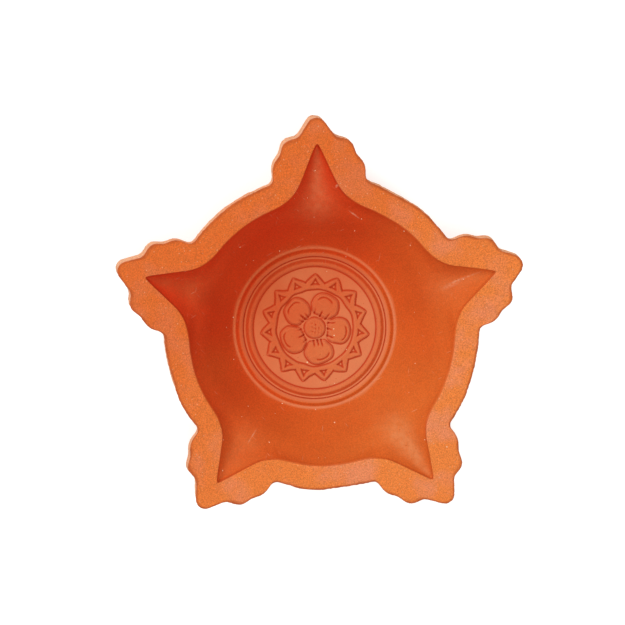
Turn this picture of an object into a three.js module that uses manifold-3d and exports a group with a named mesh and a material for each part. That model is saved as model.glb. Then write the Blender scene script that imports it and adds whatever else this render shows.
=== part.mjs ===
// A five-spouted diya: a press-moulded terracotta oil lamp with a stamped medallion set in its floor.
// Millimetres, +Z up. The origin is the centre of the foot, and one spout points along +Y.
import * as THREE from 'three';
import { mergeVertices } from 'three/addons/utils/BufferGeometryUtils.js';
import Module from 'manifold-3d';

const wasm = await Module();
wasm.setup();

// Overall sizes of the lamp.
const SPOUTS = 5;
const TIP_R = 60; // axis to the tip of a spout
const RIM_OUTER_R = 44.1; // round part of the rim, between the spouts
const RIM_WIDTH = 6.7;
const HEIGHT = 21; // foot to rim
const BOWL_DEPTH = 14; // rim to floor
const FOOT_R = 27;
const FOOT_BEVEL = 1.1;
const EDGE_BEVEL = 0.35; // worn corners of the rim

// The upright band below the rim, and the belly under it.
const BAND_BETWEEN_SPOUTS = 4.5;
const BAND_AT_TIPS = 9.5;
const BELLY_BULGE = 1.25; // 1 is a straight cone

// One spout in plan. "back" is measured from the tip towards the axis, "side" from the centre line.
const NOSE_R = 2.7;
const SHOULDER = { back: 10.6, radius: 7.2 };
const FRONT_LOBE = { back: 8.8, side: 7.4, radius: 2.6 };
const REAR_LOBE = { back: 14.8, side: 7.9, radius: 5.0 };
const STEM_HALF_WIDTH = 7.5;
const OUTLINE_BLEND = 2.7; // softens the notches between the lobes

// The hollow of a spout: a V that opens into the bowl.
const TIP_WALL = 7.7; // tip to the point of the V
const V_HALF_ANGLE = THREE.MathUtils.degToRad(26.7);
const V_POINT_ROUNDING = 0.4;
const V_BLEND = 4.5; // softens the corner where the V meets the round bowl
const CHANNEL_START_R = 33.8; // the bowl's wall turns into the channel here
const CHANNEL_FLATNESS = 1.27; // 1 is a straight ramp up to the rim
const CHANNEL_BLEND = 3.6; // softens the meeting of bowl and channel
const POINT_DROP = 0.5; // upright wall at the point of the V
const WALL_CURVE = 1.2; // 1 is a straight cone

// The medallion, a little off the bowl's axis and turned, as it was pressed in by hand.
const MEDALLION_R = 20.4;
const MEDALLION_THICKNESS = 3;
const MEDALLION_X = -1.3;
const MEDALLION_Y = 0.3;
const CLEARANCE = 0.3; // medallion to its seat, all round and below
const BEAD_WIDTH = 2.1; // raised rings: one on the bowl's floor around the seat, one on the medallion
const BEAD_HEIGHT = 0.55;
const LAND_WIDTH = 0.55; // flat strip outside each ring
const SUN_RAYS = 15;
const SUN_TIP_R = 15.7;
const SUN_VALLEY_R = 13;
const SUN_INNER_R = 10.7;
const SUN_HEIGHT = 0.4;
const SUN_TURN = THREE.MathUtils.degToRad(88.5);
const SUN_HOLE_R = 0.9;
const SUN_HOLE_CENTRE_R = 13.1;
const PETALS = 5;
const PETAL_CENTRE_R = 6.8;
const PETAL_R = 3.8;
const PETAL_HEIGHT = 0.7;
const PETAL_TURN = THREE.MathUtils.degToRad(63.7);
const BUTTON_R = 2.9;
const BUTTON_HEIGHT = 0.9;

// How finely the curves are divided.
const RAYS_PER_HALF_SPOUT = 18;
const WALL_STEPS = 6;
const BELLY_STEPS = 4;
const RING_SEGMENTS = 72;

const RIM_INNER_R = RIM_OUTER_R - RIM_WIDTH;
const FLOOR_Z = HEIGHT - BOWL_DEPTH;
const SEAT_R = MEDALLION_R + CLEARANCE;
const FLOOR_R = SEAT_R + BEAD_WIDTH + LAND_WIDTH;
const HALF_SECTOR = Math.PI / SPOUTS;

const mix = (a, b, t) => a + (b - a) * t;

// The smaller of two distances, rounded off where they are nearly equal.
function softMin(a, b, blend) {
  const overlap = Math.max(blend - Math.abs(a - b), 0) / blend;
  return Math.min(a, b) - (overlap * overlap * blend) / 4;
}

// Distance to the hull of two discs on the centre line, the larger one nearer the axis.
function taperDistance(along, across, bigX, bigR, smallX, smallR) {
  const length = smallX - bigX;
  const slope = (bigR - smallR) / length;
  const lean = Math.sqrt(1 - slope * slope);
  const x = along - bigX;
  const y = Math.abs(across);
  const position = lean * x - slope * y;
  if (position < 0) return Math.hypot(x, y) - bigR;
  if (position > lean * length) return Math.hypot(x - length, y) - smallR;
  return lean * y + slope * x - bigR;
}

function discDistance(along, across, disc) {
  return Math.hypot(along - (TIP_R - disc.back), Math.abs(across) - (disc.side ?? 0)) - disc.radius;
}

// Distance outside the lamp's outline in plan, for one spout along x.
function outlineDistance(along, across) {
  const noseX = TIP_R - NOSE_R;
  let distance = taperDistance(along, across, TIP_R - SHOULDER.back, SHOULDER.radius, noseX, NOSE_R);
  distance = softMin(distance, discDistance(along, across, FRONT_LOBE), OUTLINE_BLEND);
  distance = softMin(distance, discDistance(along, across, REAR_LOBE), OUTLINE_BLEND);
  const stem = Math.hypot(Math.max(along - (TIP_R - REAR_LOBE.back), 0), across) - STEM_HALF_WIDTH;
  distance = softMin(distance, stem, OUTLINE_BLEND);
  return softMin(distance, Math.hypot(along, across) - RIM_OUTER_R, OUTLINE_BLEND);
}

// Distance outside the hollow in plan, for one spout along x.
function hollowDistance(along, across) {
  const beyondPoint = along - (TIP_R - TIP_WALL);
  const halfWidth = Math.hypot(across, V_POINT_ROUNDING);
  const wedge = beyondPoint * Math.sin(V_HALF_ANGLE) + halfWidth * Math.cos(V_HALF_ANGLE);
  return softMin(wedge, Math.hypot(along, across) - RIM_INNER_R, V_BLEND);
}

// Where a ray at this angle from the spout's centre line last leaves a shape.
function edgeRadius(distance, angle) {
  let radius = TIP_R + RIM_OUTER_R;
  for (let step = 0; step < 200; step += 1) {
    radius -= distance(radius * Math.cos(angle), radius * Math.sin(angle));
  }
  return radius;
}

// Angles from a spout's centre line to the middle of the gap, evenly spread along the outline.
function raysOfHalfSpout() {
  const fine = 600;
  const lengths = [0];
  let last = [edgeRadius(outlineDistance, 0), 0];
  for (let i = 1; i <= fine; i += 1) {
    const angle = (HALF_SECTOR * i) / fine;
    const radius = edgeRadius(outlineDistance, angle);
    const point = [radius * Math.cos(angle), radius * Math.sin(angle)];
    lengths.push(lengths[i - 1] + Math.hypot(point[0] - last[0], point[1] - last[1]));
    last = point;
  }
  const angles = [];
  let index = 0;
  for (let i = 0; i <= RAYS_PER_HALF_SPOUT; i += 1) {
    const wanted = (lengths[fine] * i) / RAYS_PER_HALF_SPOUT;
    while (index < fine - 1 && lengths[index + 1] < wanted) index += 1;
    const part = (wanted - lengths[index]) / (lengths[index + 1] - lengths[index]);
    angles.push((HALF_SECTOR * (index + part)) / fine);
  }
  return angles;
}

// Every ray of the lamp: its heading, and where it crosses the outline and the hollow's edge.
function lampRays() {
  const half = raysOfHalfSpout();
  const leaving = half.slice(0, -1).map((angle) => ({ turn: angle, angle }));
  const arriving = half.slice(1).reverse().map((angle) => ({ turn: 2 * HALF_SECTOR - angle, angle }));
  const rays = [];
  for (let spout = 0; spout < SPOUTS; spout += 1) {
    const centreLine = Math.PI / 2 + 2 * HALF_SECTOR * spout;
    for (const { turn, angle } of [...leaving, ...arriving]) {
      const outer = edgeRadius(outlineDistance, angle);
      const inner = edgeRadius(hollowDistance, angle);
      rays.push({ heading: centreLine + turn, angle, outer, inner });
    }
  }
  return rays;
}

// Half the width of the hollow across a spout's centre line.
function halfWidth(along) {
  let across = RIM_INNER_R;
  for (let step = 0; step < 60; step += 1) across -= hollowDistance(along, across);
  return Math.max(across, 0.01);
}

function bowlDepth(radius) {
  const out = Math.min(Math.max((radius - FLOOR_R) / (RIM_INNER_R - FLOOR_R), 0), 1);
  return BOWL_DEPTH * (1 - out ** WALL_CURVE);
}

// Depth below the rim: the bowl, and a trough with a rounded section leading to each point.
function hollowDepth(along, across) {
  const reach = (along - CHANNEL_START_R) / (TIP_R - TIP_WALL - CHANNEL_START_R);
  const out = Math.min(Math.max(reach, 0), 1);
  const middle = mix(bowlDepth(CHANNEL_START_R), POINT_DROP, out ** CHANNEL_FLATNESS);
  const side = Math.min(across / halfWidth(along), 1);
  const channel = middle * (1 - side * side);
  return -softMin(-bowlDepth(Math.hypot(along, across)), -channel, CHANNEL_BLEND);
}

// The section of the lamp on one ray, from the middle of the foot, over the rim, to the middle
// of the seat. A point's shift is how far its ring follows the medallion off the bowl's axis.
function lampSection(ray) {
  const armness = Math.min((ray.outer - RIM_OUTER_R) / (TIP_R - RIM_OUTER_R), 1);
  const bandZ = HEIGHT - mix(BAND_BETWEEN_SPOUTS, BAND_AT_TIPS, armness);
  const seatZ = FLOOR_Z - MEDALLION_THICKNESS - CLEARANCE;
  const points = [
    { r: 0, z: 0, shift: 0 },
    { r: FOOT_R - FOOT_BEVEL, z: 0, shift: 0 },
  ];
  for (let i = 0; i <= BELLY_STEPS; i += 1) {
    const up = i / BELLY_STEPS;
    const out = 1 - (1 - up) ** mix(BELLY_BULGE, 1, armness);
    points.push({ r: mix(FOOT_R, ray.outer, out), z: mix(FOOT_BEVEL, bandZ, up), shift: 0 });
  }
  points.push({ r: ray.outer, z: HEIGHT - EDGE_BEVEL, shift: 0 });
  points.push({ r: ray.outer - EDGE_BEVEL, z: HEIGHT, shift: 0 });
  points.push({ r: ray.inner + EDGE_BEVEL, z: HEIGHT, shift: 0 });
  for (let i = WALL_STEPS; i >= 0; i -= 1) {
    const out = i / WALL_STEPS;
    const r = mix(FLOOR_R, ray.inner, out);
    const along = r * Math.cos(ray.angle);
    const depth = Math.max(hollowDepth(along, r * Math.sin(ray.angle)), EDGE_BEVEL);
    points.push({ r, z: HEIGHT - depth, shift: 1 - out });
  }
  points.push({ r: SEAT_R + BEAD_WIDTH, z: FLOOR_Z, shift: 1 });
  points.push({ r: SEAT_R + BEAD_WIDTH / 2, z: FLOOR_Z + BEAD_HEIGHT, shift: 1 });
  points.push({ r: SEAT_R, z: FLOOR_Z, shift: 1 });
  points.push({ r: SEAT_R, z: seatZ, shift: 1 });
  points.push({ r: 0, z: seatZ, shift: 1 });
  return points;
}

// The lamp's body is a lathed ring of sections, each one set to the radii of its own ray.
function bowlGeometry() {
  const rays = lampRays();
  const sections = rays.map(lampSection);
  const profile = sections[0].map((point) => new THREE.Vector2(point.r, point.z));
  const geometry = new THREE.LatheGeometry(profile, rays.length);
  const position = geometry.getAttribute('position');
  for (let i = 0; i < position.count; i += 1) {
    const ray = Math.floor(i / profile.length) % rays.length;
    const point = sections[ray][i % profile.length];
    const x = point.r * Math.cos(rays[ray].heading) + point.shift * MEDALLION_X;
    const y = point.r * Math.sin(rays[ray].heading) + point.shift * MEDALLION_Y;
    position.setXYZ(i, x, y, point.z);
  }
  return tidied(geometry);
}

// One vertex per corner, and no triangles without area.
function tidied(geometry) {
  geometry.deleteAttribute('normal');
  geometry.deleteAttribute('uv');
  const merged = mergeVertices(geometry, 1e-5);
  const index = merged.getIndex().array;
  const kept = [];
  for (let i = 0; i < index.length; i += 3) {
    const [a, b, c] = [index[i], index[i + 1], index[i + 2]];
    if (a !== b && b !== c && c !== a) kept.push(a, b, c);
  }
  merged.setIndex(kept);
  return merged;
}

function solidOf(geometry) {
  const merged = tidied(geometry);
  const vertProperties = new Float32Array(merged.getAttribute('position').array);
  const triVerts = new Uint32Array(merged.getIndex().array);
  return new wasm.Manifold(new wasm.Mesh({ numProp: 3, vertProperties, triVerts }));
}

function geometryOf(solid) {
  const { vertProperties, triVerts } = solid.getMesh();
  const geometry = new THREE.BufferGeometry();
  geometry.setAttribute('position', new THREE.BufferAttribute(new Float32Array(vertProperties), 3));
  geometry.setIndex(new THREE.BufferAttribute(new Uint32Array(triVerts), 1));
  return geometry;
}

// A turned solid whose profile runs up the outside from the axis to the axis.
function turned(points, segments) {
  const profile = points.map(([r, z]) => new THREE.Vector2(r, z));
  return new THREE.LatheGeometry(profile, segments).rotateX(Math.PI / 2);
}

// The medallion's blank: a disc with a raised ring near its edge. Its field is at z = 0.
function medallionBlank() {
  const beadOuter = MEDALLION_R - LAND_WIDTH;
  return turned(
    [
      [0, -MEDALLION_THICKNESS],
      [MEDALLION_R, -MEDALLION_THICKNESS],
      [MEDALLION_R, 0],
      [beadOuter, 0],
      [beadOuter - BEAD_WIDTH / 2, BEAD_HEIGHT],
      [beadOuter - BEAD_WIDTH, 0],
      [0, 0],
    ],
    RING_SEGMENTS,
  );
}

// The ring of sun rays, each with a three-cornered hole.
function sunRing() {
  const outline = new THREE.Shape();
  for (let i = 0; i < 2 * SUN_RAYS; i += 1) {
    const radius = i % 2 === 0 ? SUN_TIP_R : SUN_VALLEY_R;
    const angle = SUN_TURN + (Math.PI * i) / SUN_RAYS;
    const corner = [radius * Math.cos(angle), radius * Math.sin(angle)];
    if (i === 0) outline.moveTo(...corner);
    else outline.lineTo(...corner);
  }
  outline.closePath();
  outline.holes.push(new THREE.Path().absarc(0, 0, SUN_INNER_R, 0, 2 * Math.PI, true));
  for (let i = 0; i < SUN_RAYS; i += 1) {
    const ray = SUN_TURN + (2 * Math.PI * i) / SUN_RAYS;
    const hole = new THREE.Path();
    for (let corner = 0; corner < 3; corner += 1) {
      const angle = ray - (2 * Math.PI * corner) / 3;
      const x = SUN_HOLE_CENTRE_R * Math.cos(ray) + SUN_HOLE_R * Math.cos(angle);
      const y = SUN_HOLE_CENTRE_R * Math.sin(ray) + SUN_HOLE_R * Math.sin(angle);
      if (corner === 0) hole.moveTo(x, y);
      else hole.lineTo(x, y);
    }
    hole.closePath();
    outline.holes.push(hole);
  }
  const sunk = 0.2;
  const depth = SUN_HEIGHT + sunk;
  const ring = new THREE.ExtrudeGeometry(outline, { depth, bevelEnabled: false, curveSegments: 30 });
  return ring.translate(0, 0, -sunk);
}

// A low dome standing on the field: the upper half of a squashed ball.
function dome(radius, height) {
  return new THREE.SphereGeometry(radius, 20, 10).rotateX(Math.PI / 2).scale(1, 1, height / radius);
}

function medallionGeometry() {
  let solid = solidOf(medallionBlank()).add(solidOf(sunRing()));
  for (let i = 0; i < PETALS; i += 1) {
    const angle = PETAL_TURN + (2 * Math.PI * i) / PETALS;
    const petal = dome(PETAL_R, PETAL_HEIGHT);
    petal.translate(PETAL_CENTRE_R * Math.cos(angle), PETAL_CENTRE_R * Math.sin(angle), 0);
    solid = solid.add(solidOf(petal));
  }
  solid = solid.add(solidOf(dome(BUTTON_R, BUTTON_HEIGHT)));
  return geometryOf(solid);
}

const clay = new THREE.MeshStandardMaterial({ color: '#d0612f', roughness: 0.9, metalness: 0 });
const medallionClay = new THREE.MeshStandardMaterial({ color: '#cf6138', roughness: 0.85, metalness: 0 });

const bowl = new THREE.Mesh(bowlGeometry(), clay);
bowl.name = 'bowl';

const medallion = new THREE.Mesh(medallionGeometry(), medallionClay);
medallion.name = 'floor_medallion';
medallion.position.set(MEDALLION_X, MEDALLION_Y, FLOOR_Z);

const group = new THREE.Group();
group.add(bowl, medallion);

export default group;
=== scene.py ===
import math

import bpy
import numpy as np
from mathutils import Matrix, Vector


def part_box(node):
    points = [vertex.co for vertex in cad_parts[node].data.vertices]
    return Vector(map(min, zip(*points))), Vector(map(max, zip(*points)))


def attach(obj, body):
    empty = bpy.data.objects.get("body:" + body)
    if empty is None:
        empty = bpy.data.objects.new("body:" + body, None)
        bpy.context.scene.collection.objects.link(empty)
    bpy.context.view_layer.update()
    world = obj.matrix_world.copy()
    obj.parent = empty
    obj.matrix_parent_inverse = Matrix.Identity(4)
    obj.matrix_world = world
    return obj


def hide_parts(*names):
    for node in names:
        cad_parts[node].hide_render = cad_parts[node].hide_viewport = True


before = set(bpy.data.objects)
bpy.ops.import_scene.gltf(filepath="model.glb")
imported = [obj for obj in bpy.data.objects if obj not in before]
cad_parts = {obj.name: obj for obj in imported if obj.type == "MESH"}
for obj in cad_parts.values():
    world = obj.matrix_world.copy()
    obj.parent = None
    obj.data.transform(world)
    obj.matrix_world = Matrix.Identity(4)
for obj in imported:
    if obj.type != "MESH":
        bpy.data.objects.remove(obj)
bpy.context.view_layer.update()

# Shapes are worked out in millimetres and turned into metres when a mesh is made.
MM = 0.001
bowl_high = np.array(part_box("bowl")[1]) / MM
disc_low, disc_high = (np.array(corner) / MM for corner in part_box("floor_medallion"))

# Overall sizes, from the frame.
SPOUTS = 5
TIP_R = bowl_high[1]
HEIGHT = bowl_high[2]
MEDALLION_R = (disc_high[0] - disc_low[0]) / 2
MEDALLION_CENTRE = (disc_low[:2] + disc_high[:2]) / 2
MEDALLION_BOTTOM = disc_low[2]
SECTOR = 2 * math.pi / SPOUTS
SPOUT_HEADING = math.pi / 2  # one spout points along +Y

# The bowl. Its plan, foot, band and depths are the CAD model's; its rounded edges, its flare and
# the section and step of its channels are finer than there.
RIM_OUTER_R = 44.1
RIM_WIDTH = 6.7
RIM_INNER_R = RIM_OUTER_R - RIM_WIDTH
BOWL_DEPTH = 14.0
FLOOR_Z = HEIGHT - BOWL_DEPTH
FOOT_R = 27.0
FOOT_BEVEL = 1.1
RIM_EDGE = 0.45
RIM_TOP_DEPTH = 0.9  # the rim's clay reaches this far down its corners
INNER_EDGE = 0.25
BAND_BETWEEN_SPOUTS = 4.5
BAND_AT_TIPS = 9.5
BELLY_BULGE = 1.25
FLARE = 0.35  # the band leans outwards this much towards its lower edge
ARM_FLARE = 0.3  # and this much more around the spouts
NOSE_R = 2.7
SHOULDER_BACK, SHOULDER_R = 10.6, 7.2
FRONT_LOBE_BACK, FRONT_LOBE_SIDE, FRONT_LOBE_R = 8.8, 7.4, 2.6
REAR_LOBE_BACK, REAR_LOBE_SIDE, REAR_LOBE_R = 14.8, 7.9, 5.0
OUTLINE_BLEND = 2.7
TIP_WALL = 7.7
V_HALF_ANGLE = math.radians(26.7)
V_POINT_ROUNDING = 0.4
V_BLEND = 4.5
CHANNEL_START_R = 33.8
CHANNEL_FLATNESS = 1.27
CHANNEL_BLEND = 3.6
CHANNEL_SECTION = 2.6  # 2 is a parabola; more is steeper at the edges and flatter in the middle
POINT_DROP = 0.5
CHANNEL_STEP = 0.6  # the sharp drop at a channel's edge
WALL_CURVE = 1.2

# Hand-made differences between the spouts, counted anticlockwise from the one along +Y: degrees
# turned, and the share by which each is longer.
SPOUT_TURNS = (1.0, -0.9, -0.1, 0.3, 0.9)
SPOUT_STRETCH = (0.007, -0.001, -0.007, 0.007, 0.001)
SPOUT_POINT = (1.2, 0.4, 0.0, 0.0, 0.0)  # how much farther out the point of each hollow was pressed
# The paler channel middles below are partly rubbed clay and partly painted highlight; a value below 0 is
# painted shade.
SPOUT_WEAR_AND_LIGHT = (0.17, -0.18, 0.07, 0.34, 0.09)  # how pale a channel's middle is, or dark if below 0
# How far along and across each channel its rubbing, painted highlight and painted shade reach.
WEAR_AND_LIGHT_FADE_IN = (27, 38)  # distances from the axis
WEAR_AND_LIGHT_FADE_OUT = (46, 53)
WEAR_AND_LIGHT_NARROWS = (32, 50)
WEAR_AND_LIGHT_WIDTHS = (4.2, 1.1)

# Raised rings around the medallion and on it, and the hair-line seam between the two pieces.
SEAM = 0.008
SEAM_EDGE = 0.1
SEAT_CLEARANCE = 0.3  # between the seat and the underside of the medallion
BEAD_WIDTH = 2.25
BEAD_HEIGHT = 0.55
LAND_WIDTH = 0.6
SEAT_R = MEDALLION_R + SEAM
FLOOR_R = SEAT_R + BEAD_WIDTH + LAND_WIDTH

# How finely the meshes are divided.
BOWL_RAYS = 860
MEDALLION_RAYS = 720
MEDALLION_RINGS = 126


def mix(a, b, t):
    return a + (b - a) * t


def smooth(low, high, x):
    """0 below low, 1 above high, and an easy curve between."""
    t = np.clip((x - low) / (high - low), 0, 1)
    return t * t * (3 - 2 * t)


def soft_min(a, b, blend):
    overlap = np.maximum(blend - np.abs(a - b), 0) / blend
    return np.minimum(a, b) - overlap * overlap * blend / 4


class Ripples:
    """Smooth unevenness of one size: a sum of waves in seeded random directions."""

    def __init__(self, wavelength, seed, waves=28):
        chance = np.random.default_rng(seed)
        directions = chance.normal(size=(waves, 3))
        directions /= np.linalg.norm(directions, axis=1)[:, None]
        lengths = wavelength * chance.uniform(0.7, 1.4, waves)
        self.waves = 2 * math.pi * directions / lengths[:, None]
        self.phases = chance.uniform(0, 2 * math.pi, waves)
        self.level = math.sqrt(2 / waves)

    def __call__(self, x, y, z=0.0):
        total = 0.0
        for (kx, ky, kz), phase in zip(self.waves, self.phases):
            total = total + np.cos(kx * x + ky * y + kz * z + phase)
        return total * self.level


# ---- The bowl's plan ----

def taper_distance(along, across, big_x, big_r, small_x, small_r):
    """Distance to the hull of two discs on the centre line, the larger one nearer the axis."""
    length = small_x - big_x
    slope = (big_r - small_r) / length
    lean = math.sqrt(1 - slope * slope)
    x = along - big_x
    y = np.abs(across)
    position = lean * x - slope * y
    flank = lean * y + slope * x - big_r
    back = np.hypot(x, y) - big_r
    front = np.hypot(x - length, y) - small_r
    return np.where(position < 0, back, np.where(position > lean * length, front, flank))


def outline_distance(along, across):
    def lobe(back, side, radius):
        return np.hypot(along - (TIP_R - back), np.abs(across) - side) - radius

    nose_x = TIP_R - NOSE_R
    shoulder_x = TIP_R - SHOULDER_BACK
    distance = taper_distance(along, across, shoulder_x, SHOULDER_R, nose_x, NOSE_R)
    front_lobe = lobe(FRONT_LOBE_BACK, FRONT_LOBE_SIDE, FRONT_LOBE_R)
    rear_lobe = lobe(REAR_LOBE_BACK, REAR_LOBE_SIDE, REAR_LOBE_R)
    distance = soft_min(distance, front_lobe, OUTLINE_BLEND)
    distance = soft_min(distance, rear_lobe, OUTLINE_BLEND)
    return soft_min(distance, np.hypot(along, across) - RIM_OUTER_R, OUTLINE_BLEND)


def hollow_distance(along, across):
    beyond_point = along - (TIP_R - TIP_WALL)
    half_width = np.hypot(across, V_POINT_ROUNDING)
    wedge = beyond_point * math.sin(V_HALF_ANGLE) + half_width * math.cos(V_HALF_ANGLE)
    return soft_min(wedge, np.hypot(along, across) - RIM_INNER_R, V_BLEND)


def edge_radius(distance, angle):
    """Where rays at these angles from a spout's centre line last leave a shape."""
    radius = np.full(np.shape(angle), TIP_R + RIM_OUTER_R)
    for _ in range(200):
        radius = radius - distance(radius * np.cos(angle), radius * np.sin(angle))
    return radius


def plan_rays(count):
    """Headings and edge radii, evenly spread along the outline and the hollow's edge together."""
    turn = np.linspace(0, SECTOR, 2401)
    folded = np.minimum(turn, SECTOR - turn)
    outer = edge_radius(outline_distance, folded)
    inner = edge_radius(hollow_distance, folded)
    length = np.zeros(len(turn))
    for radius in (outer, inner):
        steps = np.hypot(np.diff(radius * np.cos(turn)), np.diff(radius * np.sin(turn)))
        length[1:] += np.cumsum(steps)
    wanted = np.arange(count // SPOUTS) * length[-1] / (count // SPOUTS)
    turns = np.interp(wanted, length, turn)
    heading = np.concatenate([SPOUT_HEADING + SECTOR * k + turns for k in range(SPOUTS)])
    return (
        heading,
        np.tile(np.interp(turns, turn, folded), SPOUTS),
        np.tile(np.interp(turns, turn, outer), SPOUTS),
        np.tile(np.interp(turns, turn, inner), SPOUTS),
    )


# ---- The bowl's sections ----

def bowl_depth(radius):
    out = np.clip((radius - FLOOR_R) / (RIM_INNER_R - FLOOR_R), 0, 1)
    return BOWL_DEPTH * (1 - out**WALL_CURVE)


def half_width(along):
    """Half the width of the hollow across a spout's centre line."""
    across = np.full(np.shape(along), RIM_INNER_R)
    for _ in range(60):
        across = across - hollow_distance(along, across)
    return np.maximum(across, 0.01)


def hollow_depth(along, across):
    """Depth below the rim: the bowl, and a trough with a rounded section leading to each point."""
    out = np.clip((along - CHANNEL_START_R) / (TIP_R - TIP_WALL - CHANNEL_START_R), 0, 1)
    middle = mix(bowl_depth(CHANNEL_START_R), POINT_DROP, out**CHANNEL_FLATNESS)
    side = np.clip(across / half_width(along), -1, 1)
    channel = middle * (1 - np.abs(side) ** CHANNEL_SECTION)
    return -soft_min(-bowl_depth(np.hypot(along, across)), -channel, CHANNEL_BLEND)


def bead(t):
    """A raised ring's section: steepest at its inner foot, rounded on top, easier outside."""
    rise = 1 - (1 - np.clip(t / 0.5, 0, 1)) ** 2.5
    return rise * (1 - smooth(0.52, 1.0, t))


def bowl_stations(turn_off, outer, inner):
    """The section on every ray, from the middle of the foot over the rim to the middle of the
    seat. Each station is a radius, a height and how far it follows the medallion off the axis."""
    armness = np.clip((outer - RIM_OUTER_R) / (TIP_R - RIM_OUTER_R), 0, 1)
    band_z = HEIGHT - mix(BAND_BETWEEN_SPOUTS, BAND_AT_TIPS, armness)
    bulge = mix(BELLY_BULGE, 1, armness)
    flare = FLARE + ARM_FLARE * smooth(0, 0.35, armness)
    flat = np.zeros_like(outer)
    stations = []

    def add(radius, z, shift=0.0):
        stations.append((radius + flat, z + flat, shift))

    for share in (0.0, 0.3, 0.6, 0.85, 1.0):
        add((FOOT_R - FOOT_BEVEL) * share, 0.0)
    for turn in np.radians((30, 60)):
        add(FOOT_R - FOOT_BEVEL * (1 - math.sin(turn)), FOOT_BEVEL * (1 - math.cos(turn)))
    for up in np.linspace(0, 1, 12):
        out = 1 - (1 - up) ** bulge
        add(mix(FOOT_R, outer + flare, out), mix(FOOT_BEVEL, band_z, up))
    for up in (0.3, 0.6, 0.85):
        add(outer + flare * (1 - up) ** 2, mix(band_z, HEIGHT - RIM_EDGE, up))
    for turn in np.radians((0, 22, 45, 68)):
        out = RIM_EDGE * (1 - math.cos(turn))
        add(outer - out, HEIGHT - RIM_EDGE * (1 - math.sin(turn)))
    for across in np.linspace(0, 1, 15):
        add(mix(outer - RIM_EDGE, inner + INNER_EDGE, across), HEIGHT)
    for turn in np.radians((68, 45, 22, 0)):
        out = INNER_EDGE * (1 - math.cos(turn))
        add(inner + out, HEIGHT - INNER_EDGE * (1 - math.sin(turn)))
    inner_armness = (inner - RIM_INNER_R) / (TIP_R - TIP_WALL - RIM_INNER_R)
    step = mix(INNER_EDGE, CHANNEL_STEP, smooth(0.0, 0.3, inner_armness))
    add(inner - 0.04, HEIGHT - step - 0.01)
    for out in 1 - np.linspace(0.06, 1, 46) ** 1.3:
        radius = mix(FLOOR_R, inner, out)
        depth = hollow_depth(radius * np.cos(turn_off), radius * np.sin(turn_off))
        add(radius, HEIGHT - np.maximum(depth, step + 0.02), 1 - out)
    for share in np.linspace(0, 1, 20)[1:]:
        radius = mix(FLOOR_R, SEAT_R + SEAM_EDGE, share)
        rise = BEAD_HEIGHT * bead((radius - SEAT_R) / BEAD_WIDTH)
        add(radius, FLOOR_Z + rise, 1)
    add(SEAT_R, FLOOR_Z - SEAM_EDGE, 1)
    seat_z = MEDALLION_BOTTOM - SEAT_CLEARANCE
    for z in (FLOOR_Z - 1.0, seat_z):
        add(SEAT_R, z, 1)
    add(SEAT_R * 0.5, seat_z, 1)
    add(0.0, seat_z, 1)
    return stations


def ring_mesh(name, points):
    """A closed mesh from rings of points, shaped (rings, rays, 3). The first and the last ring
    are single points on the axis."""
    rings, rays, _ = points.shape
    inner_rings = points[1:-1].reshape(-1, 3)
    vertices = np.vstack([points[0, :1], inner_rings, points[-1, :1]])
    last = len(vertices) - 1
    ring = np.arange(rays)
    after = (ring + 1) % rays
    faces = [(0, 1 + b, 1 + a) for a, b in zip(ring, after)]
    for level in range(rings - 3):
        low = 1 + level * rays
        high = low + rays
        quads = np.stack([low + ring, low + after, high + after, high + ring], axis=1)
        faces.extend(map(tuple, quads.tolist()))
    top = 1 + (rings - 3) * rays
    faces.extend((last, top + int(a), top + int(b)) for a, b in zip(ring, after))
    mesh = bpy.data.meshes.new(name)
    mesh.from_pydata((vertices * MM).tolist(), [], faces)
    mesh.polygons.foreach_set("use_smooth", [True] * len(mesh.polygons))
    mesh.update()
    piece = bpy.data.objects.new(name, mesh)
    bpy.context.scene.collection.objects.link(piece)
    return piece


def paint(piece, name, rings):
    """Stores one number per vertex of a ring mesh, for its material to read."""
    values = np.concatenate([[rings[0, 0]], rings[1:-1].ravel(), [rings[-1, 0]]])
    attribute = piece.data.attributes.new(name, "FLOAT", "POINT")
    attribute.data.foreach_set("value", values.astype(np.float32))


def firing_and_shade(x, y):
    """0 on the darker, redder side, 1 on the paler side: partly uneven kiln heat, partly painted shade."""
    return smooth(-42, 42, (x - y) * math.sqrt(0.5) + 3 * Ripples(19.0, seed=14)(x, y))


def hand_made(heading):
    """Each spout is turned and stretched a little, as pressing it by hand left it. Gives the new
    headings, the stretch, and how much farther out the hollow's point is."""
    turned = heading.copy()
    reach = np.ones_like(heading)
    point = np.zeros_like(heading)
    for spout in range(SPOUTS):
        off = (heading - SPOUT_HEADING - SECTOR * spout + math.pi) % (2 * math.pi) - math.pi
        share = np.cos(np.clip(np.abs(off) / SECTOR, 0, 0.5) * math.pi) ** 2
        turned += math.radians(SPOUT_TURNS[spout]) * share
        reach += SPOUT_STRETCH[spout] * share
        point += SPOUT_POINT[spout] * share
    return turned, reach, point


def channel_wear_and_light(x, y):
    """The share of paler clay along each channel's middle: partly rubbing, partly painted highlight; below
    0, painted shade.
    """
    wear_and_painted_light = 0.0
    for spout in range(SPOUTS):
        heading = SPOUT_HEADING + SECTOR * spout + math.radians(SPOUT_TURNS[spout])
        along = x * math.cos(heading) + y * math.sin(heading)
        across = y * math.cos(heading) - x * math.sin(heading)
        length = smooth(*WEAR_AND_LIGHT_FADE_IN, along) * (1 - smooth(*WEAR_AND_LIGHT_FADE_OUT, along))
        width = mix(*WEAR_AND_LIGHT_WIDTHS, smooth(*WEAR_AND_LIGHT_NARROWS, along))
        wear_and_painted_light = wear_and_painted_light + SPOUT_WEAR_AND_LIGHT[spout] * length * np.exp(-((across / width) ** 2))
    return wear_and_painted_light


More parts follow.
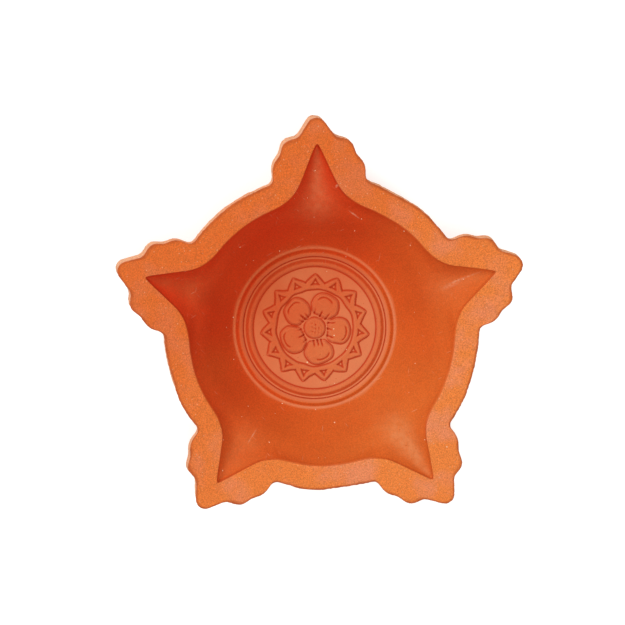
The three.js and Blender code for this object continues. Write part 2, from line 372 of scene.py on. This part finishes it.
def make_bowl():
    heading, turn_off, outer, inner = plan_rays(BOWL_RAYS)
    stations = bowl_stations(turn_off, outer, inner)
    heading, reach, point = hand_made(heading)
    radius = np.array([station[0] for station in stations])
    z = np.array([station[1] for station in stations])
    shift = np.array([station[2] + 0 * outer for station in stations])
    stretch = 1 + (reach - 1) * smooth(SEAT_R + 3, RIM_INNER_R, radius)

    # Only the hollow and the top of the rim follow a point that was pressed farther out.
    below_rim = (shift == 0) & (z < HEIGHT - RIM_TOP_DEPTH)
    on_hollow = smooth(0.8 * RIM_INNER_R, inner, radius)
    on_rim = np.clip((outer - radius) / (outer - inner), 0, 1)
    follows = np.where(radius <= inner, on_hollow, on_rim) * np.where(below_rim, 0, 1)
    pressed = point * smooth(RIM_INNER_R + 5, TIP_R - TIP_WALL, inner) * follows
    x = (radius + pressed) * stretch * np.cos(heading) + shift * MEDALLION_CENTRE[0]
    y = (radius + pressed) * stretch * np.sin(heading) + shift * MEDALLION_CENTRE[1]

    # Hand-pressed unevenness: none at the foot's plane, the seam or the axis.
    loose = smooth(0.0, 3.0, z) * smooth(SEAT_R + 2, SEAT_R + 7, radius)
    outside = smooth(0.2, 2.5, radius - inner)
    wobble = Ripples(17.0, seed=3)(x, y, z) * 0.16 + Ripples(5.0, seed=4)(x, y, z) * 0.05
    grain = Ripples(1.1, seed=5)(x, y, z) * 0.025
    uneven = wobble * mix(0.25, 1, outside) + grain * mix(0.3, 1.6, outside) - 0.2
    draw_in = np.minimum(uneven, 0.0) * loose
    x = x + draw_in * np.cos(heading)
    y = y + draw_in * np.sin(heading)
    sag = Ripples(21.0, seed=6)(x, y) * 0.07 + Ripples(2.2, seed=7)(x, y) * 0.02
    z = z + np.minimum(sag - 0.12, 0.0) * loose * smooth(FLOOR_Z, HEIGHT - 3, z)

    piece = ring_mesh("diya_bowl", np.stack([x, y, z], axis=2))
    paint_bowl(piece, (x, y, z), radius, inner, outer, below_rim)
    return piece


def paint_bowl(piece, place, radius, inner, outer, below_rim):
    """Marks where each kind of surface is: rim, sides, edge and flats in the floor, and where shade,
    highlight and rubbing are painted.
    """
    x, y, z = place
    on_top = smooth(HEIGHT - RIM_TOP_DEPTH, HEIGHT - 0.4, z)
    beyond = smooth(-0.12, 0.1, radius - inner)
    paint(piece, "rim", on_top * beyond)
    # The side share: partly uneven kiln heat, partly painted shade for the hollow's walls facing away from
    # the key light.
    paint(piece, "firing_and_shade", firing_and_shade(x, y))
    # Channels: rubbed paler clay and painted highlight, and painted shade where below 0.
    paint(piece, "wear_and_painted_light", channel_wear_and_light(x, y))
    # A painted shade line along the rim's outer corner.
    from_corner = np.hypot(radius - outer, z - HEIGHT)
    paint(piece, "edge", 1 - smooth(0.35, 1.0, from_corner))
    paint(piece, "outside", np.where(below_rim, 1, smooth(-0.1, 0.6, radius - inner) * (1 - on_top)))
    from_land = np.abs(radius - SEAT_R - BEAD_WIDTH - LAND_WIDTH * 0.5) / LAND_WIDTH
    from_land = np.minimum(from_land, np.abs(radius - SEAT_R - 0.35) / LAND_WIDTH + 0.1)
    across_bead = (radius - SEAT_R) / BEAD_WIDTH
    crest = 0.6 * smooth(0.1, 0.25, across_bead) * (1 - smooth(0.42, 0.55, across_bead))
    pale = np.maximum(1 - smooth(0.3, 0.8, from_land), crest)
    paint(piece, "land", pale * (z < HEIGHT - 5) * (z > FLOOR_Z - 0.1))


# ---- The medallion ----

def make_medallion():
    rays = np.arange(MEDALLION_RAYS) * 2 * math.pi / MEDALLION_RAYS
    radii = np.linspace(0, MEDALLION_R - SEAM_EDGE, MEDALLION_RINGS)
    radius, angle = np.meshgrid(radii, rays, indexing="ij")
    x = radius * np.cos(angle)
    y = radius * np.sin(angle)
    height = relief(x, y)
    z = FLOOR_Z + height
    rings_x = [MEDALLION_R * np.cos(rays), MEDALLION_R * np.cos(rays), 0 * rays]
    rings_y = [MEDALLION_R * np.sin(rays), MEDALLION_R * np.sin(rays), 0 * rays]
    rings_z = [FLOOR_Z - SEAM_EDGE + 0 * rays, MEDALLION_BOTTOM + 0 * rays, MEDALLION_BOTTOM + 0 * rays]
    x = np.vstack([x, rings_x])[::-1] + MEDALLION_CENTRE[0]
    y = np.vstack([y, rings_y])[::-1] + MEDALLION_CENTRE[1]
    z = np.vstack([z, rings_z])[::-1]
    piece = ring_mesh("stamped_medallion", np.stack([x, y, z], axis=2))
    # The cavity share marks the creases, and a ring at the seam, to be darkened as painted shade; below 0 it
    # marks raised edges, which are paler as rubbing.
    at_seam = 0.15 * smooth(MEDALLION_R - 0.4, MEDALLION_R - SEAM_EDGE, radius)
    cavity = np.vstack([hollowness(radius, angle) + at_seam, np.full((3, MEDALLION_RAYS), 0.2)])[::-1]
    paint(piece, "cavity", cavity)
    # The side share: partly uneven kiln heat, partly painted shade.
    paint(piece, "firing_and_shade", firing_and_shade(x, y))
    standing = np.vstack([smooth(0.05, 0.3, height), np.zeros((3, MEDALLION_RAYS))])[::-1]
    paint(piece, "raised", standing)
    # The bead's outer slope, which the material darkens as painted shade.
    bead_share = (radius - MEDALLION_R + LAND_WIDTH + BEAD_WIDTH) / BEAD_WIDTH
    slope = smooth(0.48, 0.62, bead_share) * (1 - smooth(0.92, 1.02, bead_share))
    paint(piece, "slope", np.vstack([slope, np.zeros((3, MEDALLION_RAYS))])[::-1])
    return piece


SUN_RAYS = 15
SUN_TIP_R = 15.7
SUN_VALLEY_R = 13.2
SUN_INNER_R = 11.0
SUN_HEIGHT = 0.5
SUN_TURN = math.radians(88.5)
HOLE_CENTRE_R = 13.0
HOLE_R = 0.95
PETALS = 5
PETAL_TURN = math.radians(63.7)
PETAL_CENTRE_R = 7.0
PETAL_HALF_LENGTH = 3.45
PETAL_HALF_WIDTH = 4.1
PETAL_GAP = 0.16
PETAL_HEIGHT = 0.62
PETAL_FOLDS = ((-1.35, 0.9), (0.1, 1.1), (1.5, 0.8))  # a place across the petal, and a depth
BUTTON_R = 3.05
BUTTON_HEIGHT = 0.7
GROOVE_DEPTH = 0.16
GROOVE_WIDTH = 0.28


def folded(angle, turn, count):
    """The angle from the nearest of count evenly spaced headings, and that heading's number."""
    step = 2 * math.pi / count
    number = np.round((angle - turn) / step)
    return angle - turn - number * step, number % count


def raised(distance, height, softness):
    return height * (1 - smooth(-softness, softness * 0.4, distance))


def groove(distance):
    return -GROOVE_DEPTH * np.exp(-((distance / GROOVE_WIDTH) ** 2))


def sun_shape(radius, angle):
    """Distances to the ring of sun rays, to its three-cornered holes and to the two combined."""
    off, _ = folded(angle, SUN_TURN, SUN_RAYS)
    along = radius * np.cos(off)
    across = radius * np.sin(off)
    half_step = math.pi / SUN_RAYS
    run = SUN_TIP_R - SUN_VALLEY_R * math.cos(half_step)
    side = SUN_VALLEY_R * math.sin(half_step)
    blunt = np.hypot(across, 0.3) - 0.1
    ray_edge = ((along - SUN_TIP_R) * side + blunt * run) / math.hypot(run, side)
    band = -soft_min(-ray_edge, radius - SUN_INNER_R, 0.2)
    hole_along = along - HOLE_CENTRE_R
    hole_flank = hole_along * 0.5 + np.hypot(across, 0.1) * math.sqrt(0.75) - HOLE_R * 0.5
    hole = np.maximum(hole_flank, -hole_along - HOLE_R * 0.5)
    return band, hole, -soft_min(-band, hole, 0.15)


def petal_shape(radius, angle):
    """Distance to the nearest petal, and the place in that petal's own directions."""
    off, number = folded(angle, PETAL_TURN, PETALS)
    along = radius * np.cos(off) - PETAL_CENTRE_R
    across = radius * np.sin(off)
    power = np.where(along < 0, 3.2, 2.15)
    length = np.abs(along / PETAL_HALF_LENGTH)
    width = np.abs(across / (PETAL_HALF_WIDTH - 0.25 * np.sin(1.9 * number)))
    edge = ((length**power + width**power) ** (1 / power) - 1) * PETAL_HALF_LENGTH
    half = math.pi / PETALS
    gap = np.abs(across) * math.cos(half) - (along + PETAL_CENTRE_R) * math.sin(half) + PETAL_GAP
    return -soft_min(-edge, -gap, 0.3), along, across, number


def relief(x, y):
    """Height of the stamped pattern above the medallion's field."""
    radius = np.hypot(x, y)
    angle = np.arctan2(y, x)
    bead_inner = MEDALLION_R - LAND_WIDTH - BEAD_WIDTH
    height = BEAD_HEIGHT * bead((radius - bead_inner) / BEAD_WIDTH)
    height += groove(radius - bead_inner)

    # The cut of the pattern wavers a little.
    wavy_x = x + 0.1 * Ripples(4.5, seed=21)(x, y)
    wavy_y = y + 0.1 * Ripples(4.5, seed=22)(x, y)
    wavy_radius = np.hypot(wavy_x, wavy_y)
    wavy_angle = np.arctan2(wavy_y, wavy_x)
    band, hole, sun = sun_shape(wavy_radius, wavy_angle)
    height += raised(sun, SUN_HEIGHT, 0.45)
    height += groove(band) + groove(hole) * 0.7

    # The petals are domed, with a crescent near the outer edge and folds beside the button.
    petal, along, across, number = petal_shape(wavy_radius, wavy_angle)
    dome = 1 - 0.3 * np.clip(np.hypot(along, across) / PETAL_HALF_WIDTH, 0, 1) ** 2
    height += PETAL_HEIGHT * dome * (1 - smooth(-0.75, 0.1, petal)) + groove(petal)
    lean = 0.9 * np.sin(2.4 * number + 0.7)
    crescent = np.hypot(along + 0.5, across - 0.4 * lean) - PETAL_HALF_LENGTH * 0.8
    reach = smooth(-0.3, 1.4, along) * (1 - smooth(1.5, 2.8, np.abs(across - lean)))
    height -= 0.3 * np.exp(-((crescent / 0.26) ** 2)) * reach
    for place, deep in PETAL_FOLDS:
        middle = place + 0.35 * np.sin(3.1 * number + place)
        fold = (across - middle * (1 + 0.12 * (along + PETAL_HALF_LENGTH))) / 0.27
        length = 1 - smooth(-3.2, -1.0, along + 0.4 * np.sin(5 * number + 2 * place))
        height -= 0.5 * deep * np.exp(-(fold**2)) * length * (1 - smooth(-0.1, 0.3, petal))

    button = radius - BUTTON_R
    height += raised(button, BUTTON_HEIGHT * 0.6, 0.55) + groove(button)
    height += BUTTON_HEIGHT * 0.4 * np.clip(1 - (radius / BUTTON_R) ** 2, 0, 1)

    raised_share = smooth(0.1, 0.4, height)
    pitted = 1 - smooth(0.5, 0.9, radius / BUTTON_R)
    worn = Ripples(2.6, seed=11)(x, y) * 0.01 + Ripples(0.8, seed=12)(x, y) * 0.012 * raised_share
    worn += Ripples(0.9, seed=13)(x, y) * 0.05 * pitted
    return height + worn


def hollowness(radius, angle):
    """How much lower the relief is than its surroundings, as a number of millimetres."""
    here = relief(radius * np.cos(angle), radius * np.sin(angle))
    around = 0.0
    for turn in np.arange(8) * math.pi / 4:
        x = radius * np.cos(angle) + 0.45 * math.cos(turn)
        y = radius * np.sin(angle) + 0.45 * math.sin(turn)
        around = around + relief(x, y) / 8
    return around - here


# ---- Materials ----

class Shader:
    """A node material whose texture coordinates are the object's own, in metres."""

    def __init__(self, name):
        self.material = bpy.data.materials.new(name)
        self.material.use_nodes = True
        self.tree = self.material.node_tree
        self.bsdf = self.tree.nodes["Principled BSDF"]
        self.place = self.tree.nodes.new("ShaderNodeTexCoord").outputs["Object"]

    def node(self, kind, **settings):
        node = self.tree.nodes.new(kind)
        for key, value in settings.items():
            setattr(node, key, value)
        return node

    def put(self, value, socket):
        if isinstance(value, bpy.types.NodeSocket):
            self.tree.links.new(value, socket)
        elif isinstance(value, tuple):
            socket.default_value = (*value, 1.0)
        else:
            socket.default_value = value

    def attribute(self, name):
        return self.node("ShaderNodeAttribute", attribute_name=name).outputs["Fac"]

    def noise(self, size_mm, detail=3.0, rough=0.55, seed=0.0):
        node = self.node("ShaderNodeTexNoise", noise_dimensions="4D")
        self.put(self.place, node.inputs["Vector"])
        node.inputs["Scale"].default_value = 1 / (size_mm * MM)
        node.inputs["Detail"].default_value = detail
        node.inputs["Roughness"].default_value = rough
        node.inputs["W"].default_value = seed
        return node.outputs["Fac"]

    def cells(self, size_mm):
        node = self.node("ShaderNodeTexVoronoi", voronoi_dimensions="3D")
        self.put(self.place, node.inputs["Vector"])
        node.inputs["Scale"].default_value = 1 / (size_mm * MM)
        return node

    def span(self, value, low, high, to_low=0.0, to_high=1.0):
        node = self.node("ShaderNodeMapRange", interpolation_type="SMOOTHSTEP")
        self.put(value, node.inputs["Value"])
        node.inputs["From Min"].default_value = low
        node.inputs["From Max"].default_value = high
        node.inputs["To Min"].default_value = to_low
        node.inputs["To Max"].default_value = to_high
        return node.outputs["Result"]

    def math(self, operation, a, b=0.0):
        node = self.node("ShaderNodeMath", operation=operation)
        self.put(a, node.inputs[0])
        self.put(b, node.inputs[1])
        return node.outputs["Value"]

    def mix(self, share, a, b, blend="MIX"):
        node = self.node("ShaderNodeMix", data_type="RGBA", blend_type=blend)
        self.put(share, node.inputs[0])
        self.put(a, node.inputs[6])
        self.put(b, node.inputs[7])
        return node.outputs[2]

    def streaks(self, length_mm, width_mm, turn_deg, seed):
        """Noise drawn out in one direction across the object."""
        mapping = self.node("ShaderNodeMapping", vector_type="TEXTURE")
        self.put(self.place, mapping.inputs["Vector"])
        mapping.inputs["Rotation"].default_value = (0.0, 0.0, math.radians(turn_deg))
        mapping.inputs["Scale"].default_value = (length_mm * MM, width_mm * MM, length_mm * MM)
        node = self.node("ShaderNodeTexNoise", noise_dimensions="4D")
        self.put(mapping.outputs["Vector"], node.inputs["Vector"])
        node.inputs["Scale"].default_value = 1.0
        node.inputs["Detail"].default_value = 1.0
        node.inputs["W"].default_value = seed
        return node.outputs["Fac"]

    def rub(self, x_mm, y_mm, length_mm, width_mm, turn_deg):
        """A mark left by handling, seen from above: 1 in its middle, fading to 0 all round."""
        mapping = self.node("ShaderNodeMapping", vector_type="TEXTURE")
        self.put(self.place, mapping.inputs["Vector"])
        mapping.inputs["Location"].default_value = (x_mm * MM, y_mm * MM, 0.0)
        mapping.inputs["Rotation"].default_value = (0.0, 0.0, math.radians(turn_deg))
        mapping.inputs["Scale"].default_value = (length_mm * MM / 2, width_mm * MM / 2, 1.0)
        distance = self.node("ShaderNodeVectorMath", operation="LENGTH")
        self.put(mapping.outputs["Vector"], distance.inputs[0])
        return self.span(distance.outputs["Value"], 0.2, 1.0, 1.0, 0.0)

    def specks(self, size_mm, share, most_radius):
        """1 inside sparse round specks. A share of the cells holds one, of this radius or less."""
        cells = self.cells(size_mm)
        chosen = self.node("ShaderNodeSeparateColor")
        self.put(cells.outputs["Color"], chosen.inputs[0])
        present = self.math("LESS_THAN", chosen.outputs[0], share)
        size = self.math("MULTIPLY", chosen.outputs[1], most_radius)
        inside = self.math("LESS_THAN", cells.outputs["Distance"], size)
        return self.math("MULTIPLY", present, inside)

    def bump(self, height, distance_mm, strength):
        node = self.node("ShaderNodeBump")
        node.inputs["Strength"].default_value = strength
        node.inputs["Distance"].default_value = distance_mm * MM
        self.put(height, node.inputs["Height"])
        return node.outputs["Normal"]


# The hollow, the medallion's field and the rim have one colour on the darker side and one on the paler
# side, partly from uneven kiln heat and partly painted shade where the hollow's walls face away from the
# key light. The others are the same all round.
INNER_DARK_SIDE = (0.485, 0.0124, 0.001)
INNER_PALE_SIDE = (0.542, 0.0825, 0.0102)
FIELD_DARK_SIDE = (0.52, 0.060, 0.018)
FIELD_PALE_SIDE = (0.61, 0.172, 0.080)
RIM_DARK_SIDE = (0.61, 0.089, 0.012)
RIM_PALE_SIDE = (0.71, 0.160, 0.032)
PINKER = (0.97, 1.14, 2.6)  # multiplies the rim's colour in its smoother patches
OUTER_CLAY = (0.70, 0.30, 0.17)
# Painted shade along the rim's outer corner.
EDGE_SHADE = (0.38, 0.035, 0.006)
# Painted shade for the medallion's creases, its seam and its bead's outer slope.
CREASE_SHADE = (0.43, 0.022, 0.003)
# Paler clay for the channels' middles: partly rubbing, partly painted highlight.
RUBBED_AND_HIGHLIGHT_CLAY = (0.66, 0.25, 0.11)
PIT_CLAY = (0.42, 0.055, 0.010)
GRIT = (0.80, 0.50, 0.32)
GLOSS_TINT = (1.0, 1.0, 0.33)
INNER_GLOSS = 0.55
RIM_GLOSS = 1.00
INNER_ROUGHNESS = 0.69
RIM_ROUGHNESS = 0.8

# Rubs on the hollow: a place, a length and a width in millimetres, a turn in degrees, a strength.
RUBS = (
    (40.5, 15.0, 12.0, 0.8, 21.0, 0.2),
    (37.0, 13.2, 9.0, 2.2, 27.0, 0.15),
    (9.5, 33.0, 5.0, 0.7, -38.0, 0.35),
    (4.5, 41.2, 1.6, 0.9, 60.0, 0.5),
    (-20.0, -29.0, 6.0, 0.6, 55.0, 0.25),
)


def shaded(shader, colour, brightness):
    """The colour times a number that varies over the surface."""
    grey = shader.node("ShaderNodeCombineColor")
    for channel in range(3):
        shader.put(brightness, grey.inputs[channel])
    return shader.mix(1.0, colour, grey.outputs[0], "MULTIPLY")


# Mixes the darker and the paler colour by the side share: uneven kiln heat and painted shade.
def by_firing_and_shade(shader, hard, soft):
    return shader.mix(shader.attribute("firing_and_shade"), hard, soft)


def inner_colour(shader):
    """Slip-smoothed clay: nearly even, with a fine mottle and a few pale scratches."""
    cloud = shader.span(shader.noise(11.0, seed=1.0), 0.3, 0.7, 0.96, 1.04)
    colour = shaded(shader, by_firing_and_shade(shader, INNER_DARK_SIDE, INNER_PALE_SIDE), cloud)
    mottle = shader.span(shader.noise(0.4, detail=2.0, rough=0.7, seed=2.0), 0.3, 0.7, 0.85, 1.15)
    colour = shaded(shader, colour, mottle)
    for turn_deg, seed in ((28, 1.0), (-47, 2.0), (80, 3.0)):
        scratch = shader.span(shader.streaks(5.0, 0.22, turn_deg, seed), 0.73, 0.82, 0.0, 0.35)
        colour = shader.mix(scratch, colour, GRIT)
    return colour


def rubbed(shader, colour):
    """Thin pale rubs, broken up by a fine noise."""
    broken = shader.span(shader.noise(0.8, detail=2.0, seed=10.0), 0.35, 0.65, 0.25, 1.0)
    for x_mm, y_mm, length_mm, width_mm, turn_deg, strength in RUBS:
        mark = shader.math("MULTIPLY", shader.rub(x_mm, y_mm, length_mm, width_mm, turn_deg), broken)
        colour = shader.mix(shader.math("MULTIPLY", mark, strength), colour, GRIT)
    return colour


def with_grit(shader, colour):
    colour = shader.mix(shader.specks(1.9, 0.3, 0.1), colour, GRIT)
    return shader.mix(shader.specks(0.9, 0.35, 0.18), colour, PIT_CLAY)


def finish_clay(shader, colour, normal, roughness):
    shader.put(colour, shader.bsdf.inputs["Base Color"])
    shader.put(roughness, shader.bsdf.inputs["Roughness"])
    shader.put(normal, shader.bsdf.inputs["Normal"])
    shader.put(GLOSS_TINT, shader.bsdf.inputs["Specular Tint"])


def hollow_colour(shader):
    """The smoothed clay with rubs and grit, pale flats beside the raised ring, and along the channels
    rubbing with painted highlight and painted shade.
    """
    wear_and_painted_light = shader.attribute("wear_and_painted_light")
    # Along the channels: painted shade below 0, rubbed clay and painted highlight above.
    inner = shaded(shader, inner_colour(shader), shader.span(wear_and_painted_light, -0.2, 0.0, 0.86, 1.0))
    broken = shader.span(shader.noise(2.0, seed=11.0), 0.3, 0.7, 0.6, 1.4)
    uneven_wear_and_light = shader.math("MULTIPLY", wear_and_painted_light, broken)
    inner = shader.mix(uneven_wear_and_light, inner, RUBBED_AND_HIGHLIGHT_CLAY)
    inner = with_grit(shader, rubbed(shader, inner))
    return shader.mix(shader.attribute("land"), inner, by_firing_and_shade(shader, FIELD_DARK_SIDE, FIELD_PALE_SIDE))


def rim_colour(shader, grains):
    """Bare sandy clay with dark pits and pale grains, and smoother, pinker patches."""
    patches = shader.span(shader.noise(9.0, detail=2.0, seed=3.0), 0.44, 0.70)
    rim = by_firing_and_shade(shader, RIM_DARK_SIDE, RIM_PALE_SIDE)
    rim = shader.mix(patches, rim, shader.mix(1.0, rim, PINKER, "MULTIPLY"))
    rim = shaded(shader, rim, grains)
    sandy = shader.span(patches, 0.0, 1.0, 0.75, 0.35)
    pits = shader.math("MULTIPLY", shader.specks(0.6, 0.6, 0.27), sandy)
    rim = shader.mix(pits, rim, PIT_CLAY)
    pale_grains = shader.math("MULTIPLY", shader.specks(0.75, 0.4, 0.25), 0.3)
    rim = shader.mix(pale_grains, rim, GRIT)
    return shader.mix(shader.specks(2.3, 0.14, 0.09), rim, GRIT)


def side_colour(shader, grains):
    """Paler, dusty clay on the outside and underneath."""
    dusty = shader.span(shader.noise(14.0, seed=5.0), 0.35, 0.65, 0.0, 0.5)
    side = shader.mix(dusty, OUTER_CLAY, by_firing_and_shade(shader, RIM_DARK_SIDE, RIM_PALE_SIDE))
    return shaded(shader, side, grains)


def bowl_material():
    shader = Shader("fired_terracotta")
    sand = shader.noise(0.36, detail=2.0, rough=0.75, seed=4.0)
    grains = shader.span(sand, 0.3, 0.7, 0.73, 1.26)
    rim_share = shader.attribute("rim")
    colour = shader.mix(shader.attribute("outside"), hollow_colour(shader), side_colour(shader, grains))
    colour = shader.mix(rim_share, colour, rim_colour(shader, grains))
    # Painted shade along the rim's outer corner, broken up by noise.
    edge_shade = shader.span(shader.noise(3.0, seed=9.0), 0.3, 0.7, 0.5, 1.0)
    edge_shade = shader.math("MULTIPLY", edge_shade, shader.attribute("edge"))
    colour = shader.mix(edge_shade, colour, EDGE_SHADE)
    coarse = shader.bump(shader.noise(0.42, detail=3.0, rough=0.7, seed=6.0), 0.3, 1.0)
    fine = shader.bump(shader.noise(0.35, detail=2.0, seed=7.0), 0.05, 0.4)
    rough_share = shader.math("MAXIMUM", rim_share, shader.attribute("outside"))
    either = shader.node("ShaderNodeMix", data_type="VECTOR")
    shader.put(rough_share, either.inputs[0])
    shader.put(fine, either.inputs[4])
    shader.put(coarse, either.inputs[5])
    variation = shader.span(shader.noise(3.0, seed=8.0), 0.3, 0.7, -0.05, 0.05)
    roughness = shader.span(rough_share, 0.0, 1.0, INNER_ROUGHNESS, RIM_ROUGHNESS)
    finish_clay(shader, colour, either.outputs[1], shader.math("ADD", variation, roughness))
    gloss = shader.span(rough_share, 0.0, 1.0, INNER_GLOSS, RIM_GLOSS)
    shader.put(gloss, shader.bsdf.inputs["Specular IOR Level"])
    return shader.material


def medallion_material():
    shader = Shader("stamped_terracotta")
    pressed = shader.span(shader.attribute("raised"), 0.0, 1.0, 0.0, 0.5)
    field = by_firing_and_shade(shader, FIELD_DARK_SIDE, FIELD_PALE_SIDE)
    colour = shader.mix(pressed, field, inner_colour(shader))
    # The bead's outer slope is darkened as painted shade.
    slope_shade = shader.math("MULTIPLY", shader.attribute("slope"), 0.8)
    colour = shader.mix(slope_shade, colour, shader.mix(0.4, inner_colour(shader), CREASE_SHADE))
    # The creases and the seam are darkened as painted shade, and made less glossy.
    crease_shade = shader.span(shader.attribute("cavity"), 0.015, 0.13)
    colour = shader.mix(shader.math("MULTIPLY", crease_shade, 0.85), colour, CREASE_SHADE)
    worn = shader.span(shader.attribute("cavity"), -0.14, -0.03, 0.5, 0.0)
    colour = shader.mix(worn, colour, field)
    colour = with_grit(shader, colour)
    normal = shader.bump(shader.noise(0.35, detail=2.0, seed=7.0), 0.05, 0.4)
    variation = shader.span(shader.noise(3.0, seed=8.0), 0.3, 0.7, -0.05, 0.05)
    finish_clay(shader, colour, normal, shader.math("ADD", variation, INNER_ROUGHNESS))
    gloss = shader.span(crease_shade, 0.0, 1.0, INNER_GLOSS, INNER_GLOSS * 0.35)
    shader.put(gloss, shader.bsdf.inputs["Specular IOR Level"])
    return shader.material


FLOOR_GLOW = 0.63


def floor_material():
    shader = Shader("pale_floor")
    tone = shader.mix(shader.noise(60.0), (0.50, 0.50, 0.50), (0.53, 0.53, 0.53))
    shader.put(tone, shader.bsdf.inputs["Base Color"])
    shader.bsdf.inputs["Roughness"].default_value = 0.9
    shader.bsdf.inputs["Emission Color"].default_value = (1.0, 1.0, 1.0, 1.0)
    shader.bsdf.inputs["Emission Strength"].default_value = FLOOR_GLOW
    return shader.material


# ---- The object ----

bowl = make_bowl()
bowl.data.materials.append(bowl_material())
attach(bowl, "root")
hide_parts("bowl")

medallion = make_medallion()
medallion.data.materials.append(medallion_material())
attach(medallion, "root")
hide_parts("floor_medallion")

# ---- The stage ----

FLOOR_HALF = 3.0  # metres, as all sizes of the stage
floor_mesh = bpy.data.meshes.new("floor")
corners = [(-FLOOR_HALF, -FLOOR_HALF, 0), (FLOOR_HALF, -FLOOR_HALF, 0)]
corners += [(FLOOR_HALF, FLOOR_HALF, 0), (-FLOOR_HALF, FLOOR_HALF, 0)]
floor_mesh.from_pydata(corners, [], [(0, 1, 2, 3)])
floor = bpy.data.objects.new("floor", floor_mesh)
floor.data.materials.append(floor_material())
bpy.context.scene.collection.objects.link(floor)


def aimed(thing, place, target, up):
    """Puts a camera or lamp at a place, looking at the target, with this direction upwards."""
    forward = (target - place).normalized()
    right = forward.cross(up).normalized()
    rotation = [right, right.cross(forward), -forward]
    thing.matrix_world = Matrix.Translation(place) @ Matrix(rotation).transposed().to_4x4()


def heading_vector(heading_deg, from_vertical_deg):
    heading = math.radians(heading_deg)
    tilt = math.radians(from_vertical_deg)
    flat = math.sin(tilt)
    return Vector((flat * math.cos(heading), flat * math.sin(heading), math.cos(tilt)))


CAMERA_HEADING, CAMERA_TILT, CAMERA_ROLL = 122.0, 7.0, 0.70
CAMERA_DISTANCE = 0.56
VIEW_WIDTH = 0.1738
AIM = Vector((-0.00280, 0.00618, HEIGHT * MM))
SENSOR = 36.0

camera_data = bpy.data.cameras.new("camera")
camera_data.sensor_width = SENSOR
camera_data.lens = SENSOR * CAMERA_DISTANCE / VIEW_WIDTH
camera = bpy.data.objects.new("camera", camera_data)
bpy.context.scene.collection.objects.link(camera)
up = Vector((math.sin(math.radians(CAMERA_ROLL)), math.cos(math.radians(CAMERA_ROLL)), 0))
camera_place = AIM + heading_vector(CAMERA_HEADING, CAMERA_TILT) * CAMERA_DISTANCE
aimed(camera, camera_place, AIM, up)
bpy.context.scene.camera = camera


LIGHT_DISTANCE = 0.9


def area_light(name, heading_deg, from_vertical_deg, size, power, colour):
    data = bpy.data.lights.new(name, "AREA")
    data.shape = "DISK"
    data.size = size
    data.energy = power
    data.color = colour
    light = bpy.data.objects.new(name, data)
    bpy.context.scene.collection.objects.link(light)
    target = Vector((0, 0, HEIGHT * MM))
    place = heading_vector(heading_deg, from_vertical_deg) * LIGHT_DISTANCE
    aimed(light, place, target, Vector((0, 0.01, 1)))


KEY_HEADING, KEY_TILT, KEY_POWER = 132.0, 55.3, 4.09
OVERHEAD_HEADING, OVERHEAD_TILT, OVERHEAD_POWER = -65.6, 12.7, 3.85
KEY_SIZE, OVERHEAD_SIZE = 0.4, 0.5
KEY_COLOUR, OVERHEAD_COLOUR = (1.0, 0.98, 0.95), (1.0, 1.0, 1.0)
WORLD_LIGHT = 0.51
area_light("key_light", KEY_HEADING, KEY_TILT, KEY_SIZE, KEY_POWER, KEY_COLOUR)
area_light("overhead_light", OVERHEAD_HEADING, OVERHEAD_TILT, OVERHEAD_SIZE, OVERHEAD_POWER, OVERHEAD_COLOUR)

world = bpy.data.worlds.new("studio")
world.use_nodes = True
world.node_tree.nodes["Background"].inputs["Color"].default_value = (1.0, 1.0, 1.0, 1.0)
world.node_tree.nodes["Background"].inputs["Strength"].default_value = WORLD_LIGHT
bpy.context.scene.world = world
bpy.context.scene.view_settings.view_transform = "Standard"
